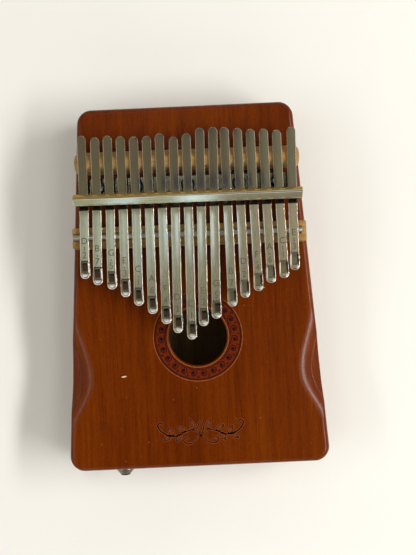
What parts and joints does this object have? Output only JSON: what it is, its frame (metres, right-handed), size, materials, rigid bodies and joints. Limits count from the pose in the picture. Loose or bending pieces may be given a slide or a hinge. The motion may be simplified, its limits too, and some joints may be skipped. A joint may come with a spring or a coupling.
{
  "type": "mbira",
  "caption": "Box-bodied thumb piano: hollow wooden body with sound hole and thumb scoops, and springy steel tines pressed onto a bridge by a screwed bar; jack at the tail.",
  "frame": {"origin": "centre of the back face, which the instrument lies on", "axes": "+X to the player's right, +Y towards the head end that holds the tines' rear ends, +Z out of the soundboard"},
  "size_m": [0.133, 0.1906, 0.0463],
  "materials": {
    "mahogany": "satin varnish, reddish brown",
    "plain_hardwood": "bare",
    "maple": "light varnish",
    "tine_steel": "polished spring steel with fine brushing",
    "plated_steel": "plated, slightly worn",
    "rod_steel": "polished",
    "screw_steel": "blue-grey zinc",
    "jack_plating": "nickel plated",
    "black_plastic": "moulded",
    "lug_brass": "tinned at the ends",
    "disc_brass": "bright",
    "piezo_white": "silvered",
    "lead_jacket": "matt",
    "clip_plastic": "moulded"
  },
  "bodies": {
    "root": {"soundboard": "mahogany", "left_side": "mahogany", "right_side": "mahogany", "head_block": "mahogany", "tail_block": "mahogany", "back_panel": "mahogany", "bridge_block": "plain_hardwood", "rear_rail": "maple", "front_bridge": "maple", "saddle_rod": "rod_steel", "tine_bracket": "plated_steel", "bracket_screws": "screw_steel", "jack_sleeve": "jack_plating", "jack_dress_nut": "jack_plating", "jack_washer": "jack_plating", "jack_lock_nut": "lug_brass", "jack_contact_block": "black_plastic", "jack_lugs": "lug_brass", "piezo_disc": "disc_brass", "piezo_ceramic": "piezo_white", "pickup_lead": "lead_jacket", "lead_clips": "clip_plastic"},
    "key_01": {"tine_01": "tine_steel"},
    "key_02": {"tine_02": "tine_steel"},
    "key_03": {"tine_03": "tine_steel"},
    "key_04": {"tine_04": "tine_steel"},
    "key_05": {"tine_05": "tine_steel"},
    "key_06": {"tine_06": "tine_steel"},
    "key_07": {"tine_07": "tine_steel"},
    "key_08": {"tine_08": "tine_steel"},
    "key_09": {"tine_09": "tine_steel"},
    "key_10": {"tine_10": "tine_steel"},
    "key_11": {"tine_11": "tine_steel"},
    "key_12": {"tine_12": "tine_steel"},
    "key_13": {"tine_13": "tine_steel"},
    "key_14": {"tine_14": "tine_steel"},
    "key_15": {"tine_15": "tine_steel"},
    "key_16": {"tine_16": "tine_steel"},
    "key_17": {"tine_17": "tine_steel"}
  },
  "joints": [
    {"name": "pluck_01", "type": "hinge", "parent": "root", "child": "key_01", "pos_m": [-0.00015, 0.0264, 0.0395], "axis": [1, -0.0079, 0], "range_deg": [-0.52, 1.03], "stiffness_Nm_per_rad": 6.02},
    {"name": "pluck_02", "type": "hinge", "parent": "root", "child": "key_02", "pos_m": [-0.00015, 0.0264, 0.0395], "axis": [1, -0.0079, 0], "range_deg": [-0.54, 1.07], "stiffness_Nm_per_rad": 5.44},
    {"name": "pluck_03", "type": "hinge", "parent": "root", "child": "key_03", "pos_m": [-0.00015, 0.0264, 0.0395], "axis": [1, -0.0079, 0], "range_deg": [-0.57, 1.14], "stiffness_Nm_per_rad": 4.75},
    {"name": "pluck_04", "type": "hinge", "parent": "root", "child": "key_04", "pos_m": [-0.00015, 0.0264, 0.0395], "axis": [1, -0.0079, 0], "range_deg": [-0.59, 1.19], "stiffness_Nm_per_rad": 4.29},
    {"name": "pluck_05", "type": "hinge", "parent": "root", "child": "key_05", "pos_m": [-0.00015, 0.0264, 0.0395], "axis": [1, -0.0079, 0], "range_deg": [-0.64, 1.28], "stiffness_Nm_per_rad": 3.75},
    {"name": "pluck_06", "type": "hinge", "parent": "root", "child": "key_06", "pos_m": [-0.00015, 0.0264, 0.0395], "axis": [1, -0.0079, 0], "range_deg": [-0.68, 1.35], "stiffness_Nm_per_rad": 3.39},
    {"name": "pluck_07", "type": "hinge", "parent": "root", "child": "key_07", "pos_m": [-0.00015, 0.0264, 0.0395], "axis": [1, -0.0079, 0], "range_deg": [-0.72, 1.45], "stiffness_Nm_per_rad": 2.96},
    {"name": "pluck_08", "type": "hinge", "parent": "root", "child": "key_08", "pos_m": [-0.00015, 0.0264, 0.0395], "axis": [1, -0.0079, 0], "range_deg": [-0.77, 1.54], "stiffness_Nm_per_rad": 2.67},
    {"name": "pluck_09", "type": "hinge", "parent": "root", "child": "key_09", "pos_m": [-0.00015, 0.0264, 0.0395], "axis": [1, -0.0079, 0], "range_deg": [-0.8, 1.6], "stiffness_Nm_per_rad": 2.5},
    {"name": "pluck_10", "type": "hinge", "parent": "root", "child": "key_10", "pos_m": [-0.00015, 0.0264, 0.0395], "axis": [1, -0.0079, 0], "range_deg": [-0.74, 1.48], "stiffness_Nm_per_rad": 2.86},
    {"name": "pluck_11", "type": "hinge", "parent": "root", "child": "key_11", "pos_m": [-0.00015, 0.0264, 0.0395], "axis": [1, -0.0079, 0], "range_deg": [-0.7, 1.4], "stiffness_Nm_per_rad": 3.17},
    {"name": "pluck_12", "type": "hinge", "parent": "root", "child": "key_12", "pos_m": [-0.00015, 0.0264, 0.0395], "axis": [1, -0.0079, 0], "range_deg": [-0.65, 1.3], "stiffness_Nm_per_rad": 3.63},
    {"name": "pluck_13", "type": "hinge", "parent": "root", "child": "key_13", "pos_m": [-0.00015, 0.0264, 0.0395], "axis": [1, -0.0079, 0], "range_deg": [-0.61, 1.23], "stiffness_Nm_per_rad": 4.01},
    {"name": "pluck_14", "type": "hinge", "parent": "root", "child": "key_14", "pos_m": [-0.00015, 0.0264, 0.0395], "axis": [1, -0.0079, 0], "range_deg": [-0.59, 1.18], "stiffness_Nm_per_rad": 4.44},
    {"name": "pluck_15", "type": "hinge", "parent": "root", "child": "key_15", "pos_m": [-0.00015, 0.0264, 0.0395], "axis": [1, -0.0079, 0], "range_deg": [-0.56, 1.11], "stiffness_Nm_per_rad": 5.08},
    {"name": "pluck_16", "type": "hinge", "parent": "root", "child": "key_16", "pos_m": [-0.00015, 0.0264, 0.0395], "axis": [1, -0.0079, 0], "range_deg": [-0.53, 1.06], "stiffness_Nm_per_rad": 5.63},
    {"name": "pluck_17", "type": "hinge", "parent": "root", "child": "key_17", "pos_m": [-0.00015, 0.0264, 0.0395], "axis": [1, -0.0079, 0], "range_deg": [-0.51, 1.01], "stiffness_Nm_per_rad": 6.44}
  ]
}
